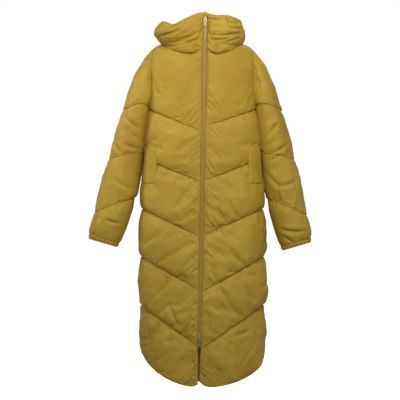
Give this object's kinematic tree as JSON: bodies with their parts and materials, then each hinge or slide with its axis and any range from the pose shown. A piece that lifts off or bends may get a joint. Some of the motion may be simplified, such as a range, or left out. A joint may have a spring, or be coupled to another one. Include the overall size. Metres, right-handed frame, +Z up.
{
  "type": "long quilted coat",
  "caption": "Long quilted coat with a stand collar, a hood worn down, chevron padding, elastic cuffs, side pockets and a two-way front zip that ends above a rounded hem.",
  "frame": {"origin": "the centre back of the neck seam, where the hanger loop is sewn", "axes": "+Z up along the coat, -Y out of the front, +X towards the wearer's left"},
  "size_m": [0.7686, 0.4088, 1.3085],
  "materials": {
    "shell": "closely woven nylon with a soft sheen",
    "lining": "smooth plain lining",
    "wadding": "matt white fibre",
    "zip_tape": "matt woven tape",
    "teeth": "satin moulded plastic",
    "metal": "pale satin plating",
    "elastic": "matt elastic webbing",
    "label": "plain woven label"
  },
  "bodies": {
    "coat": {"back_lining": "lining", "back_shell": "shell", "back_wadding": "wadding", "care_label": "label", "hanger_loop": "zip_tape", "left_collar": "shell", "left_collar_lining": "lining", "left_front_lining": "lining", "left_front_shell": "shell", "left_front_wadding": "wadding", "left_pocket_bag": "lining", "left_pocket_welt": "shell", "left_zip_end_pin": "metal", "left_zip_tape": "zip_tape", "left_zip_teeth": "teeth", "left_zip_top_stop": "metal", "neck_label": "label", "right_collar": "shell", "right_collar_lining": "lining", "right_front_lining": "lining", "right_front_shell": "shell", "right_front_wadding": "wadding", "right_pocket_bag": "lining", "right_pocket_welt": "shell", "right_zip_end_pin": "metal", "right_zip_tape": "zip_tape", "right_zip_teeth": "teeth", "right_zip_top_stop": "metal", "zip_guard": "shell"},
    "sleeve_left": {"left_cuff_elastic": "elastic", "left_sleeve_lining": "lining", "left_sleeve_shell": "shell", "left_sleeve_wadding": "wadding"},
    "sleeve_right": {"right_cuff_elastic": "elastic", "right_sleeve_lining": "lining", "right_sleeve_shell": "shell", "right_sleeve_wadding": "wadding"},
    "hood": {"hood_centre_panel": "shell", "hood_left_panel": "shell", "hood_lining": "lining", "hood_right_panel": "shell"},
    "upper_slider": {"upper_slider": "metal"},
    "upper_pull": {"upper_pull": "metal"},
    "lower_slider": {"lower_slider": "metal"},
    "lower_pull": {"lower_pull": "metal"}
  },
  "joints": [
    {"name": "sleeve_left_swing", "type": "hinge", "parent": "coat", "child": "sleeve_left", "pos_m": [0.1885, -0.045, -0.015], "axis": [0, -1, 0], "range_deg": [0, 60]},
    {"name": "sleeve_right_swing", "type": "hinge", "parent": "coat", "child": "sleeve_right", "pos_m": [-0.1885, -0.045, -0.015], "axis": [0, 1, 0], "range_deg": [0, 60]},
    {"name": "hood_lift", "type": "hinge", "parent": "coat", "child": "hood", "pos_m": [0, -0.022, 0.115], "axis": [1, 0, 0], "range_deg": [0, 20]},
    {"name": "upper_slider_travel", "type": "slide", "parent": "coat", "child": "upper_slider", "axis": [0.0185, 0.041, 0.999], "range_m": [-0.6, 0]},
    {"name": "upper_pull_swing", "type": "hinge", "parent": "upper_slider", "child": "upper_pull", "pos_m": [0.0096, -0.16661, 0.08658], "axis": [-0.9998, 0.0008, 0.0185], "range_deg": [0, 160]},
    {"name": "lower_slider_travel", "type": "slide", "parent": "coat", "child": "lower_slider", "axis": [0.0185, 0.041, 0.999], "range_m": [0, 0.4]},
    {"name": "lower_pull_swing", "type": "hinge", "parent": "lower_slider", "child": "lower_pull", "pos_m": [-0.01088, -0.212, -1.02056], "axis": [-0.9998, 0.0008, 0.0185], "range_deg": [0, 160]}
  ]
}
